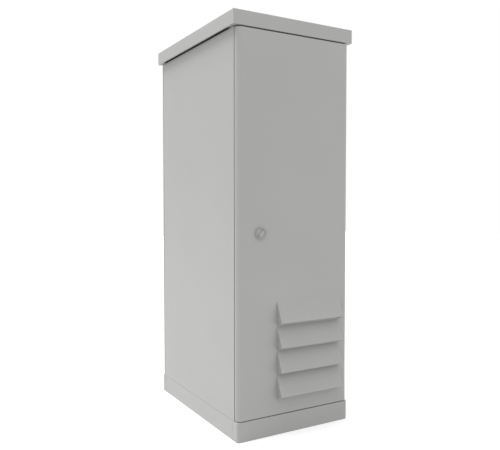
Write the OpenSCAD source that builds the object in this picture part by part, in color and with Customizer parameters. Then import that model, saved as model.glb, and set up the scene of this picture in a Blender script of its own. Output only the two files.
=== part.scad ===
// Free-standing outdoor equipment cabinet of folded sheet steel: plinth, frame, louvred door and roof cap.
// Millimetres. The origin is on the ground in the middle of the footprint, and the door faces minus Y.

/* [Cabinet] */
// Width across the two side panels
body_w = 600; // [590:1:760]
// Height between the top of the plinth and the underside of the roof
body_h = 1700; // [1400:1:2000]
// Depth of each side panel, front to back
side_d = 800; // [600:1:1000]
// Open seam between the door or rear panel and the side panels
seam = 4; // [4:0.5:6]
// Clearance below the door and the rear panel
door_gap = 4; // [3:0.5:6]
// Clearance between the door or the rear panel and the roof
top_gap = 7; // [4:0.5:9]

/* [Sheet metal] */
// Thickness of the door, rear panel, side panels, top plate and roof
skin_t = 2; // [1.5:0.1:2.5]
// Wall of the frame tubes
tube_t = 2; // [1.5:0.1:3]
// Thickness of the plinth sheet
plinth_t = 2.5; // [2:0.1:3]
// Thickness of the gland plates
gland_t = 2; // [1.5:0.1:3]
// Width of the doubled hem round the edge of a side panel
hem_w = 16; // [10:1:25]

/* [Plinth] */
// Height of the plinth
plinth_h = 88; // [70:1:160]
// Radius of the upright corners of the plinth
plinth_r = 11; // [6:0.5:20]
// Length that the front and rear channels wrap round onto the sides
plinth_wrap = 46; // [30:1:55]
// Depth of the inward flanges of the front and rear channels
plinth_flange = 60; // [50:1:70]
// Depth of the inward flanges of the side plates
side_flange = 30; // [20:1:34]
// Radius of the anchor holes in the bottom flanges
anchor_r = 7; // [5:0.5:9]
// Spacing of the anchor holes across the width
anchor_w = 480; // [300:1:520]
// Distance of the anchor holes behind the front face
anchor_in = 36; // [20:1:42]

/* [Roof] */
// Height of the roof skirt
roof_h = 64; // [45:1:120]
// Overhang of the roof at each side
eave = 18; // [10:1:40]
// Outside radius of the folds along the top of the roof
roof_r = 3; // [2.6:0.1:6]
// Depth of the soffit flanges at the front and rear
soffit = 62; // [50:1:90]
// Width of the hem along the lower edge of the side skirts
eave_hem = 5; // [3:0.5:6]
// Air slot between the eave strips and the side panels
eave_slot = 7; // [3:0.5:7]

/* [Frame] */
// Depth of the corner posts, and of the front and rear beams
post_d = 40; // [30:1:60]
// Height of the base and top beams
beam_h = 40; // [30:1:60]
// Thickness of the sealing lip round the door opening
lip_t = 2; // [1.5:0.1:3]
// Width of the gasket
gasket_w = 10; // [8:0.5:12]
// Thickness of the gasket
gasket_t = 10; // [7:0.5:12]

/* [Door] */
// Depth of the door pan and of the rear panel
door_d = 25; // [22:1:30]
// Straight part left behind the rounded upright edges
edge_flat = 1; // [0.5:0.5:3]
// Depth of the stiffeners behind the door skin
stiff_d = 18; // [10:1:24]
// Width of the raised part of a stiffener
stiff_w = 30; // [20:1:50]
// Height of the lower stiffener above the ground
stiff_low = 735; // [680:1:800]
// Height of the upper stiffener above the ground
stiff_high = 1330; // [1000:1:1400]

/* [Louvres] */
// Width of a louvre hood
louvre_w = 345; // [250:1:380]
// Distance of the hoods from the hinge edge of the door
vent_edge = 54; // [50:1:80]
// Height of the top of the upper hood above the ground
vent_top = 600; // [580:1:640]
// Distance from one hood to the next
louvre_pitch = 110; // [105:1:120]
// How far a hood stands out from the door
louvre_out = 39; // [25:1:45]
// Height from the top of a hood to its lip
louvre_drop = 94; // [80:1:96]
// Height of the folded lip at the edge of a hood
louvre_lip = 4; // [3:0.5:8]
// Sheet thickness of a hood
louvre_t = 1.5; // [1:0.1:2]
// Thickness of the filter mat behind the hoods
filter_t = 15; // [10:1:18]

/* [Lock] */
// Distance of the knob from the free edge of the door
lock_edge = 115; // [90:1:130]
// Height of the knob above the ground
lock_z = 904; // [860:1:1000]
// Radius of the rosette
rosette_r = 26; // [24:0.5:32]
// Height of the rosette on the door
rosette_h = 9; // [8:0.5:14]
// Width of the rosette's rim, round its dish
rosette_rim = 2.5; // [2:0.5:2.5]
// Radius of the knob's disc
knob_r = 19; // [17:0.5:21]
// Thickness of the knob's disc, which turns at the bottom of the rosette
disc_t = 3; // [2.5:0.5:5]
// Height of the knob's grip above the door
grip_h = 16; // [15:0.5:26]
// Width of the grip
grip_w = 12; // [6:0.5:14]
// Radius of the knob's shaft
shaft_r = 7; // [6:0.1:8]
// Depth of the lock case
case_d = 36; // [30:1:40]
// Radius at which the cam drives the rods
throw_r = 16; // [14:0.5:18]
// Width of the lock rods
rod_w = 16; // [12:0.5:18]
// Thickness of the lock rods
rod_t = 4; // [3:0.5:5]

/* [Hinges] */
// Radius of the hinge pins
pin_r = 3; // [2.5:0.1:3.3]
// Wall of the knuckles round the pin
knuckle_wall = 2.2; // [1.8:0.1:2.6]
// Distance of the end hinges from the ends of the door
hinge_end = 200; // [120:1:260]
// Thickness of the hinge arms
arm_t = 4.5; // [3:0.5:6]
// Height of the fixed knuckle
knuckle_h = 30; // [20:1:50]
// Thickness of the ears of a door leaf
ear_t = 5.5; // [4:0.5:8]

/* [Rack] */
// Clear opening between the rack rails
rack_open = 450; // [440:1:460]
// Distance of the rails behind the front or rear face
rail_in = 110; // [90:1:180]
// Depth of the rails' side flanges
rail_d = 40; // [30:1:60]
// Sheet thickness of the rails
rail_t = 2; // [1.5:0.1:3]
// Side of the square mounting holes
rail_hole = 9.5; // [8:0.1:10]

/* [Earth bar] */
// Length of the earth bar
earth_l = 160; // [100:1:240]
// Number of terminal holes in the earth bar
earth_holes = 5; // [3:1:6]

/* [Hidden] */
$fn = 64;

// Clearances
pin_fit = 0.05;
shaft_fit = 0.05;
knuckle_clear = 0.45;
sweep_clear = 0.8;
frame_clear = 2.3;
gasket_clear = 1;
seal_gap = 0.3;
plinth_seam = 1;
gland_clear = 1;
turn_clear = 0.4;
cam_clear = 0.5;
rod_clear = 0.25;
stud_clear = 0.3;
tang_clear = 0.05;
end_clear = 2;
cut = 1;

// Overall layout
half_w = body_w / 2;
body_d = side_d + 2 * (door_d + seam);
front_y = -body_d / 2;
roof_z = plinth_h + body_h;
frame_top = roof_z - skin_t;
roof_w = body_w + 2 * eave;
eave_strip_t = 0.75 * skin_t;
door_z0 = plinth_h + door_gap;
door_h = body_h - door_gap - top_gap;
door_r = door_d - edge_flat;
flat_x = half_w - door_r;

// Hinge axis: the knuckle just fits inside the rounded edge of the door
pin_angle = 47.5;
knuckle_r = pin_r + pin_fit + knuckle_wall;
pin_reach = door_r - skin_t - knuckle_clear - knuckle_r;
pin_x = flat_x + pin_reach * cos(pin_angle);
pin_y = door_r - pin_reach * sin(pin_angle);
// Radius that the rear of the door's hinge edge sweeps round the pin
sweep_r = norm([half_w - pin_x, door_d - pin_y]);

// From the hinge inwards: arm, gasket, sealing lip, post
arm_x = pin_x - sweep_r - sweep_clear - arm_t;
gasket_x1 = arm_x - gasket_clear;
gasket_x0 = gasket_x1 - gasket_w;
post_x0 = (gasket_x0 + gasket_x1 - lip_t) / 2;
post_x1 = half_w - 2 * skin_t;
post_w = post_x1 - post_x0;
post_y0 = pin_y + sweep_r + frame_clear;
post_y1 = post_y0 + post_d;
lip_y = skin_t + gasket_t + seal_gap;
lip_z0 = plinth_h + beam_h - lip_t;
lip_z1 = frame_top - beam_h + lip_t;
gasket_z0 = lip_z0 + lip_t / 2 - gasket_w / 2;
gasket_z1 = lip_z1 - lip_t / 2 + gasket_w / 2;

// Bosses of the rear panel
boss_r = 8;
boss_in = 70;

// Hinges
hinge_z = [door_z0 + hinge_end, door_z0 + door_h / 2, door_z0 + door_h - hinge_end];
ear_gap = 0.3;
leaf_end = 12;
leaf_h = knuckle_h + 2 * (ear_gap + ear_t + leaf_end);
leaf_t = 3;
leaf_in = 2;
pin_head_t = 2;
foot_w = 14;
foot_h = 70;
foot_t = 3;

// Louvres and filter
hood_count = 4;
vent_x1 = half_w - vent_edge;
vent_x0 = vent_x1 - louvre_w;
hood_fall = louvre_drop - louvre_lip;
hood_back = 14;
vent_bars = 5;
vent_bar_w = 10;
vent_margin = 30;
vent_slot_top = 30;
vent_slot_h = 50;
filter_edge = 5;
filter_x0 = vent_x0 + filter_edge;
filter_w = louvre_w - 2 * filter_edge;
filter_h = hood_count * louvre_pitch;
filter_z0 = vent_top - filter_h;
tray_t = 1.5;
tray_rim = 22;
tray_bar = 10;
stud_r = 3;
stud_in = tray_rim / 2;
nut_r = 9;
nut_h = 8;

// Lock, counted back from the door's front face
lock_x = -half_w + lock_edge;
case_y1 = skin_t + case_d;
case_w = 44;
case_h = 74;
cam_t = 4;
cam_y0 = case_y1 + cam_clear;
cam_y1 = cam_y0 + cam_t;
rod_y0 = cam_y1 + cam_clear;
rod_y1 = rod_y0 + rod_t;
tang = 8;
knob_floor = 2;
drive_r = 4;
drive_head = 6.5;
drive_head_t = 1.5;
rest_angle = 45;
rod_x = throw_r * (1 + cos(rest_angle)) / 2;
slot_w = throw_r * (1 - cos(rest_angle)) + 2 * (drive_r + cam_clear);
// The drive pin leads and lags an even travel by this share of its radius
drive_lag = 0.03;
slot_h = 2 * (drive_r + cam_clear + drive_lag * throw_r);
cam_rim = 2;
yoke_rim = 5;
keeper_w = 50;
keeper_t = 3;
keeper_h = 30;
keeper_clear = 0.5;
rod_short = 5;
rod_chamfer = 5;
guide_rim = 6;
guide_h = 14;
guide_in = 90;

// Rack rails: three square holes to a rack unit
rack_unit = 44.45;
unit_holes = [6.35, 22.225, 38.1];
rail_pitch = 465.1;
rail_z0 = plinth_h + end_clear;
rail_z1 = frame_top - end_clear;
rack_clear = lip_z1 - lip_z0 - 2 * lip_t;
units = floor(rack_clear / rack_unit);
units_z0 = lip_z0 + lip_t + (rack_clear - units * rack_unit) / 2;

// Floor and earth bar
gland_x = half_w - side_flange - gland_clear;
gland_y = plinth_flange + gland_clear;
gland_fold = 14;
seal_w = 16;
air_slot_w = 8;
air_slot_l = 60;
air_slot_pitch = 80;
air_slot_in = 24;
earth_h = 20;
earth_t = 5;
earth_hole_r = 4.5;
spacer_r = 7;
spacer_l = 14;
spacer_in = 12;

// Colours
paint = [0.76, 0.77, 0.76];
zinc = [0.68, 0.70, 0.72];
rubber = [0.10, 0.10, 0.11];
foam = [0.22, 0.22, 0.23];
fleece = [0.88, 0.88, 0.84];
copper = [0.78, 0.48, 0.30];
plastic = [0.14, 0.14, 0.15];

// Frames of reference: Y counted back from the front face, or forward from the rear face
module from_front() {
    translate([0, front_y, 0]) children();
}
module from_rear() {
    mirror([0, 1, 0]) from_front() children();
}
module left_of() {
    mirror([1, 0, 0]) children();
}
// Extrusions of a YZ outline along X, and of an XZ outline along Y
module along_x(length) {
    rotate([90, 0, 90]) linear_extrude(length) children();
}
module along_y(length) {
    translate([0, length, 0]) rotate([90, 0, 0]) linear_extrude(length) children();
}
// Local Z points out of the door at the lock
module at_lock() {
    translate([lock_x, front_y, lock_z]) rotate([90, 0, 0]) children();
}
module tube_section(width, height) {
    difference() {
        square([width, height]);
        translate([tube_t, tube_t]) square([width - 2 * tube_t, height - 2 * tube_t]);
    }
}
// A plan outline whose two front corners are rounded, open to the back
module rounded_front(half, radius, front, back) {
    for (side = [-1, 1]) intersection() {
        translate([side * (half - radius), front + radius]) circle(radius);
        translate([-half, front]) square([2 * half, radius]);
    }
    translate([-half + radius, front]) square([2 * (half - radius), back - front]);
    translate([-half, front + radius]) square([2 * half, back - front - radius]);
}

// Plinth
module plinth_channel() {
    difference() {
        linear_extrude(plinth_h) union() {
            rounded_front(half_w, plinth_r, 0, plinth_wrap);
            translate([-half_w + plinth_t + plinth_seam, plinth_r])
                square([body_w - 2 * (plinth_t + plinth_seam), plinth_flange - plinth_r]);
        }
        translate([0, 0, plinth_t]) linear_extrude(plinth_h - 2 * plinth_t)
            rounded_front(half_w - plinth_t, plinth_r - plinth_t, plinth_t, plinth_flange + cut);
        for (side = [-1, 1]) translate([side * anchor_w / 2, anchor_in, -cut])
            cylinder(r = anchor_r, h = plinth_t + 2 * cut);
    }
}
module plinth_front() {
    color(paint) from_front() plinth_channel();
}
module plinth_rear() {
    color(paint) from_rear() plinth_channel();
}
module plinth_side() {
    wall_y = plinth_wrap + plinth_seam;
    flange_y = plinth_flange + plinth_seam;
    from_front() {
        translate([half_w - plinth_t, wall_y, 0]) cube([plinth_t, body_d - 2 * wall_y, plinth_h]);
        for (z = [0, plinth_h - plinth_t]) translate([half_w - side_flange, flange_y, z])
            cube([side_flange - plinth_t / 2, body_d - 2 * flange_y, plinth_t]);
    }
}
module plinth_side_left() {
    color(paint) left_of() plinth_side();
}
module plinth_side_right() {
    color(paint) plinth_side();
}

// Frame: posts and beams, each with its part of the sealing lip
module front_post() {
    from_front() {
        translate([post_x0, post_y0, plinth_h]) linear_extrude(frame_top - plinth_h)
            tube_section(post_w, post_d);
        translate([post_x0, lip_y, lip_z0]) cube([lip_t, post_y0 + tube_t / 2 - lip_y, lip_z1 - lip_z0]);
    }
}
module front_beam(beam_z, lip_z) {
    from_front() {
        translate([-post_x0, post_y0, beam_z]) along_x(2 * post_x0) tube_section(post_d, beam_h);
        translate([-post_x0, lip_y, lip_z]) cube([2 * post_x0, post_y0 + tube_t / 2 - lip_y, lip_t]);
    }
}
module side_beam(beam_z) {
    translate([post_x0, front_y + post_y1, beam_z]) along_y(body_d - 2 * post_y1)
        tube_section(post_w, beam_h);
}
module base_beam_front() {
    color(paint) front_beam(plinth_h, lip_z0);
}
module base_beam_rear() {
    color(paint) mirror([0, 1, 0]) front_beam(plinth_h, lip_z0);
}
module base_beam_left() {
    color(paint) left_of() side_beam(plinth_h);
}
module base_beam_right() {
    color(paint) side_beam(plinth_h);
}
module post_front_left() {
    color(paint) left_of() front_post();
}
module post_front_right() {
    color(paint) front_post();
}
module post_rear_left() {
    color(paint) mirror([0, 1, 0]) left_of() front_post();
}
module post_rear_right() {
    color(paint) mirror([0, 1, 0]) front_post();
}
module top_beam_front() {
    color(paint) front_beam(frame_top - beam_h, lip_z1 - lip_t);
}
module top_beam_rear() {
    color(paint) mirror([0, 1, 0]) front_beam(frame_top - beam_h, lip_z1 - lip_t);
}
module top_beam_left() {
    color(paint) left_of() side_beam(frame_top - beam_h);
}
module top_beam_right() {
    color(paint) side_beam(frame_top - beam_h);
}

// Side panels: a flat skin with a doubled hem all round, which lies on the posts and beams
module side_panel() {
    panel_z = plinth_h + plinth_seam;
    panel_h = frame_top - panel_z;
    translate([half_w - 2 * skin_t, -side_d / 2, panel_z]) difference() {
        cube([2 * skin_t, side_d, panel_h]);
        translate([-cut, hem_w, hem_w]) cube([skin_t + cut, side_d - 2 * hem_w, panel_h - 2 * hem_w]);
    }
}
module side_panel_left() {
    color(paint) left_of() side_panel();
}
module side_panel_right() {
    color(paint) side_panel();
}

// The pan that the door and the rear panel share: rounded upright edges, walls at top and bottom
module pan() {
    translate([0, 0, door_z0]) difference() {
        linear_extrude(door_h) rounded_front(half_w, door_r, 0, door_d);
        translate([0, 0, skin_t]) linear_extrude(door_h - 2 * skin_t)
            rounded_front(half_w - skin_t, door_r - skin_t, skin_t, door_d + cut);
    }
}
module pan_gasket() {
    ring_w = 2 * gasket_x1;
    ring_h = gasket_z1 - gasket_z0;
    from_front() translate([-gasket_x1, skin_t, gasket_z0]) along_y(gasket_t) difference() {
        square([ring_w, ring_h]);
        translate([gasket_w, gasket_w]) square([ring_w - 2 * gasket_w, ring_h - 2 * gasket_w]);
    }
}
// The rear panel has welded bosses that bear on the rear beams, where it is screwed on from inside
module rear_panel() {
    boss_z = [plinth_h + beam_h / 2, frame_top - beam_h / 2];
    color(paint) from_rear() {
        pan();
        for (side = [-1, 1], z = boss_z) translate([side * (post_x0 - boss_in), skin_t / 2, z])
            along_y(post_y0 - skin_t / 2) circle(boss_r);
    }
}
module rear_gasket() {
    color(rubber) mirror([0, 1, 0]) pan_gasket();
}

// Top plate on the frame, with air slots that open into the roof above the side beams' inner edges
module top_plate() {
    plate_d = body_d - 2 * post_y0;
    slots = floor((plate_d - 2 * (post_d + air_slot_pitch)) / air_slot_pitch);
    color(zinc) translate([0, 0, frame_top]) linear_extrude(skin_t) difference() {
        translate([-post_x1, -plate_d / 2]) square([2 * post_x1, plate_d]);
        for (side = [-1, 1], i = [0 : slots - 1])
            translate([side * (post_x0 - air_slot_in), (i - (slots - 1) / 2) * air_slot_pitch])
                square([air_slot_w, air_slot_l], center = true);
    }
}

// Roof cap: folded top and skirts, soffit flanges at front and rear, hemmed eaves at the sides
module round_top(width, height, radius) {
    translate([-width / 2, 0]) square([width, height - radius]);
    translate([-width / 2 + radius, 0]) square([width - 2 * radius, height]);
    for (side = [-1, 1]) translate([side * (width / 2 - radius), height - radius]) circle(radius);
}
module roof_form(inset, drop) {
    form_w = roof_w - 2 * inset;
    form_d = body_d - 2 * inset;
    form_h = roof_h - inset + drop;
    translate([0, 0, roof_z - drop]) intersection() {
        translate([-form_w / 2, 0, 0]) along_x(form_w) round_top(form_d, form_h, roof_r - inset);
        translate([0, -form_d / 2, 0]) along_y(form_d) round_top(form_w, form_h, roof_r - inset);
    }
}
module roof_cap() {
    color(paint) {
        difference() {
            roof_form(0, 0);
            roof_form(skin_t, cut);
        }
        for (turn = [0, 1]) mirror([0, turn, 0])
            translate([-roof_w / 2 + skin_t / 2, front_y + skin_t / 2, roof_z])
                cube([roof_w - skin_t, soffit - skin_t / 2, skin_t]);
        for (turn = [0, 1]) mirror([turn, 0, 0])
            translate([roof_w / 2 - eave_hem, front_y + soffit - cut, roof_z])
                cube([eave_hem - skin_t / 2, body_d - 2 * soffit + 2 * cut, skin_t]);
    }
}
// A strip on the hem of each side skirt, which leaves a narrow air slot beside the side panel
module roof_eave_strips() {
    color(paint) for (turn = [0, 1]) mirror([turn, 0, 0])
        translate([half_w + eave_slot, front_y + soffit, roof_z + skin_t])
            cube([eave - eave_slot - skin_t, body_d - 2 * soffit, eave_strip_t]);
}

// Floor: two gland plates under the base beams, folded down along the foam cable seal between them
module gland_plate() {
    plate_d = -front_y - gland_y - seal_w / 2;
    from_front() translate([-gland_x, gland_y, plinth_h]) {
        translate([0, 0, -gland_t]) cube([2 * gland_x, plate_d, gland_t]);
        translate([0, plate_d - gland_t, -gland_fold]) cube([2 * gland_x, gland_t, gland_fold]);
    }
}
module gland_plate_front() {
    color(zinc) gland_plate();
}
module gland_plate_rear() {
    color(zinc) mirror([0, 1, 0]) gland_plate();
}
module cable_seal() {
    color(foam) translate([-gland_x, -seal_w / 2, plinth_h - gland_fold])
        cube([2 * gland_x, seal_w, gland_fold]);
}

// Rack rails: folded angles with three square holes to each rack unit
module rack_rail() {
    from_front() {
        translate([0, rail_in, 0]) along_y(rail_t) difference() {
            translate([rack_open / 2, rail_z0]) square([post_x0 - rack_open / 2, rail_z1 - rail_z0]);
            for (unit = [0 : units - 1], hole = unit_holes)
                translate([rail_pitch / 2, units_z0 + unit * rack_unit + hole])
                    square(rail_hole, center = true);
        }
        translate([post_x0 - rail_t, rail_in + rail_t / 2, rail_z0])
            cube([rail_t, rail_d - rail_t / 2, rail_z1 - rail_z0]);
    }
}
module rack_rail_front_left() {
    color(zinc) left_of() rack_rail();
}
module rack_rail_front_right() {
    color(zinc) rack_rail();
}
module rack_rail_rear_left() {
    color(zinc) mirror([0, 1, 0]) left_of() rack_rail();
}
module rack_rail_rear_right() {
    color(zinc) mirror([0, 1, 0]) rack_rail();
}

// Earth bar on two spacers, on the inner face of the rear base beam
module earth_bar() {
    bar_z = plinth_h + (beam_h - earth_h) / 2;
    color(copper) from_rear() translate([-earth_l / 2, post_y1 + spacer_l, bar_z])
        along_y(earth_t) difference() {
            square([earth_l, earth_h]);
            for (i = [1 : earth_holes])
                translate([i * earth_l / (earth_holes + 1), earth_h / 2]) circle(earth_hole_r);
        }
}
module earth_spacers() {
    color(plastic) from_rear() for (side = [-1, 1])
        translate([side * (earth_l / 2 - spacer_in), post_y1, plinth_h + beam_h / 2])
            along_y(spacer_l) circle(spacer_r);
}

// Keepers: folded plates on the frame that the lock rods slide behind
module keeper() {
    plate_y = rod_y0 - keeper_clear - keeper_t;
    from_front() translate([-keeper_w / 2, plate_y, 0]) {
        cube([keeper_w, keeper_t, keeper_h]);
        cube([keeper_w, post_y1 - plate_y, keeper_t]);
    }
}
module keeper_top() {
    color(zinc) translate([lock_x + rod_x, 0, frame_top - beam_h]) mirror([0, 0, 1]) keeper();
}
module keeper_bottom() {
    color(zinc) translate([lock_x - rod_x, 0, plinth_h + beam_h]) keeper();
}

// Concealed hinges: a swan-neck bracket on the post, a leaf with two ears inside the door edge, and a pin
module hinge_bracket(z) {
    color(zinc) from_front() translate([0, 0, z]) {
        translate([0, 0, -knuckle_h / 2]) difference() {
            linear_extrude(knuckle_h) {
                translate([pin_x, pin_y]) circle(knuckle_r);
                translate([arm_x, pin_y - arm_t / 2]) square([pin_x - arm_x, arm_t]);
                translate([arm_x, pin_y - arm_t / 2]) square([arm_t, post_y0 - pin_y + arm_t / 2]);
            }
            translate([pin_x, pin_y, -cut]) cylinder(r = pin_r + pin_fit, h = knuckle_h + 2 * cut);
        }
        translate([arm_x, post_y0 - foot_t, -foot_h / 2]) cube([foot_w, foot_t, foot_h]);
    }
}
module hinge_leaf(z) {
    leaf_x = arm_x + leaf_in;
    ear_z = knuckle_h / 2 + ear_gap;
    ear_plan = [
        [leaf_x, skin_t], [flat_x, skin_t], [pin_x, pin_y - knuckle_r], [pin_x, pin_y + knuckle_r],
        [pin_x - knuckle_r, pin_y + knuckle_r / 2], [leaf_x, skin_t + 2 * leaf_t]
    ];
    color(zinc) from_front() translate([0, 0, z]) {
        translate([leaf_x, skin_t, -leaf_h / 2]) cube([flat_x - leaf_x, leaf_t, leaf_h]);
        for (ear = [ear_z, -ear_z - ear_t]) translate([0, 0, ear]) difference() {
            linear_extrude(ear_t) {
                translate([pin_x, pin_y]) circle(knuckle_r);
                polygon(ear_plan);
            }
            translate([pin_x, pin_y, -cut]) cylinder(r = pin_r + pin_fit, h = ear_t + 2 * cut);
        }
    }
}
module hinge_bracket_lower() {
    hinge_bracket(hinge_z[0]);
}
module hinge_bracket_middle() {
    hinge_bracket(hinge_z[1]);
}
module hinge_bracket_upper() {
    hinge_bracket(hinge_z[2]);
}
module hinge_leaf_lower() {
    hinge_leaf(hinge_z[0]);
}
module hinge_leaf_middle() {
    hinge_leaf(hinge_z[1]);
}
module hinge_leaf_upper() {
    hinge_leaf(hinge_z[2]);
}
module hinge_pins() {
    half_l = knuckle_h / 2 + ear_gap + ear_t;
    color(zinc) from_front() for (z = hinge_z) translate([pin_x, pin_y, z]) {
        translate([0, 0, -half_l]) cylinder(r = pin_r, h = 2 * half_l + pin_head_t);
        translate([0, 0, half_l]) cylinder(r = knuckle_r - knuckle_clear, h = pin_head_t);
    }
}

// Door skin: the pan with its air openings behind the hoods and the hole for the knob's shaft
module door_skin() {
    open_w = louvre_w - 2 * vent_margin;
    bay_w = (open_w + vent_bar_w) / vent_bars;
    color(paint) difference() {
        from_front() pan();
        for (hood = [0 : hood_count - 1], bay = [0 : vent_bars - 1])
            translate([
                vent_x0 + vent_margin + bay * bay_w, front_y - cut,
                vent_top - hood * louvre_pitch - vent_slot_top - vent_slot_h
            ]) cube([bay_w - vent_bar_w, skin_t + 2 * cut, vent_slot_h]);
        at_lock() translate([0, 0, -skin_t - cut]) cylinder(r = shaft_r + turn_clear, h = skin_t + 2 * cut);
    }
}
module door_gasket() {
    color(rubber) pan_gasket();
}
// Stiffener: a hat section across the door, flat on the inside of the skin
module stiffener(z) {
    reach = gasket_x0 - gasket_w / 2;
    wing = 12;
    from_front() translate([-reach, skin_t, z]) along_x(2 * reach) difference() {
        union() {
            translate([0, -stiff_w / 2]) square([stiff_d, stiff_w]);
            translate([0, -stiff_w / 2 - wing]) square([tube_t, stiff_w + 2 * wing]);
        }
        translate([-cut, -stiff_w / 2 + tube_t]) square([stiff_d - tube_t + cut, stiff_w - 2 * tube_t]);
    }
}
module door_stiffener_lower() {
    color(paint) stiffener(stiff_low);
}
module door_stiffener_upper() {
    color(paint) stiffener(stiff_high);
}

// Louvre hood: a sloping slat with a folded lip, closed by a cheek at each end, open underneath
module louvre_hood(index) {
    slat_l = norm([louvre_out, hood_fall]);
    slat_z = -louvre_t * slat_l / louvre_out;
    lip_out = louvre_out - louvre_t;
    cheek = [[0, 0], [-louvre_out, -hood_fall], [-louvre_out, -louvre_drop], [0, -louvre_drop - hood_back]];
    slat = [
        [0, 0], [-louvre_out, -hood_fall], [-louvre_out, -louvre_drop], [-lip_out, -louvre_drop],
        [-lip_out, slat_z - lip_out * hood_fall / louvre_out], [0, slat_z]
    ];
    color(paint) from_front() translate([vent_x0, 0, vent_top - index * louvre_pitch]) {
        along_x(louvre_w) polygon(slat);
        for (x = [0, louvre_w - louvre_t]) translate([x, 0, 0]) along_x(louvre_t) polygon(cheek);
    }
}
module louvre_hood_1() {
    louvre_hood(0);
}
module louvre_hood_2() {
    louvre_hood(1);
}
module louvre_hood_3() {
    louvre_hood(2);
}
module louvre_hood_4() {
    louvre_hood(3);
}

// Filter: a mat behind the air openings, in a barred tray on four studs
module at_studs() {
    for (x = [stud_in, filter_w - stud_in], z = [stud_in, filter_h - stud_in])
        from_front() translate([filter_x0 + x, skin_t, filter_z0 + z]) children();
}
module filter_mat() {
    color(fleece) difference() {
        from_front() translate([filter_x0 + tray_t, skin_t, filter_z0 + tray_t])
            cube([filter_w - 2 * tray_t, filter_t, filter_h - 2 * tray_t]);
        at_studs() translate([0, -cut, 0]) along_y(filter_t + 2 * cut) circle(stud_r + stud_clear);
    }
}
module filter_frame() {
    columns = 2;
    rows = 4;
    cell_w = (filter_w - 2 * tray_rim + tray_bar) / columns;
    cell_h = (filter_h - 2 * tray_rim + tray_bar) / rows;
    color(zinc) difference() {
        from_front() translate([filter_x0, skin_t, filter_z0]) difference() {
            cube([filter_w, filter_t + tray_t, filter_h]);
            translate([tray_t, -cut, tray_t])
                cube([filter_w - 2 * tray_t, filter_t + cut, filter_h - 2 * tray_t]);
            for (i = [0 : columns - 1], j = [0 : rows - 1])
                translate([tray_rim + i * cell_w, filter_t - cut, tray_rim + j * cell_h])
                    cube([cell_w - tray_bar, tray_t + 2 * cut, cell_h - tray_bar]);
        }
        at_studs() along_y(filter_t + tray_t + cut) circle(stud_r + stud_clear);
    }
}
module filter_nuts() {
    color(zinc) at_studs() {
        along_y(filter_t + tray_t + nut_h) circle(stud_r);
        translate([0, filter_t + tray_t, 0]) along_y(nut_h) circle(nut_r);
    }
}

// Lock outside: a dished rosette on the door and a knob with a slanting grip
module lock_rosette() {
    edge = rosette_rim / 2;
    color(paint) at_lock() rotate_extrude() polygon([
        [shaft_r + turn_clear, 0], [rosette_r, 0],
        [rosette_r, rosette_h - edge], [rosette_r - edge, rosette_h], [rosette_r - rosette_rim, rosette_h],
        [knob_r + turn_clear, knob_floor], [shaft_r + turn_clear, knob_floor]
    ]);
}
module lock_knob() {
    disc_z = knob_floor + turn_clear;
    grip_half = knob_r - grip_w / 2 - turn_clear;
    color(paint) at_lock() {
        translate([0, 0, -case_y1]) cylinder(r = shaft_r, h = case_y1 + disc_z + disc_t);
        translate([0, 0, disc_z]) cylinder(r = knob_r, h = disc_t);
        translate([0, 0, disc_z]) rotate([0, 0, rest_angle]) linear_extrude(grip_h - disc_z) {
            square([2 * grip_half, grip_w], center = true);
            for (side = [-1, 1]) translate([side * grip_half, 0]) circle(grip_w / 2);
        }
        translate([-tang / 2, -tang / 2, -cam_y1]) cube([tang, tang, cam_y1 - case_y1 + cut]);
    }
}
// Lock inside: the case that carries the shaft, the disc cam with its two drive pins, and the two rods
module lock_case() {
    color(zinc) difference() {
        from_front() translate([lock_x - case_w / 2, skin_t, lock_z - case_h / 2])
            cube([case_w, case_d, case_h]);
        at_lock() translate([0, 0, -case_y1 - cut])
            cylinder(r = shaft_r + shaft_fit, h = case_d + 2 * cut);
    }
}
module lock_cam() {
    color(zinc) at_lock() rotate([0, 0, -rest_angle]) {
        translate([0, 0, -cam_y1]) linear_extrude(cam_t) difference() {
            circle(throw_r + drive_r + cam_rim);
            rotate(rest_angle) square(tang + 2 * tang_clear, center = true);
        }
        for (side = [-1, 1]) translate([side * throw_r, 0, 0]) {
            translate([0, 0, -rod_y1 - cam_clear - drive_head_t])
                cylinder(r = drive_r, h = rod_y1 + cam_clear + drive_head_t - cam_y1 + cut);
            translate([0, 0, -rod_y1 - cam_clear - drive_head_t]) cylinder(r = drive_head, h = drive_head_t);
        }
    }
}
// A rod seen from the front, with its yoke over the cam's pin and its tip at the given reach from the lock
module rod_plate(reach) {
    yoke_z = -throw_r * sin(rest_angle);
    yoke_w = slot_w + 2 * yoke_rim;
    yoke_h = slot_h + 2 * yoke_rim;
    difference() {
        union() {
            translate([rod_x - yoke_w / 2, yoke_z - yoke_h / 2]) square([yoke_w, yoke_h]);
            translate([rod_x, 0]) polygon([
                [-rod_w / 2, yoke_z], [rod_w / 2, yoke_z],
                [rod_w / 2, reach - rod_chamfer], [rod_w / 2 - rod_chamfer, reach],
                [-rod_w / 2 + rod_chamfer, reach], [-rod_w / 2, reach - rod_chamfer]
            ]);
        }
        translate([rod_x, yoke_z]) square([slot_w, slot_h], center = true);
    }
}
module lock_rod_upper() {
    reach = frame_top - beam_h - keeper_h - rod_short - lock_z;
    color(zinc) from_front() translate([lock_x, rod_y0, lock_z]) along_y(rod_t) rod_plate(reach);
}
module lock_rod_lower() {
    reach = lock_z - plinth_h - beam_h - keeper_h - rod_short;
    color(zinc) from_front() translate([lock_x, rod_y0, lock_z]) along_y(rod_t) rotate(180) rod_plate(reach);
}
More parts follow.
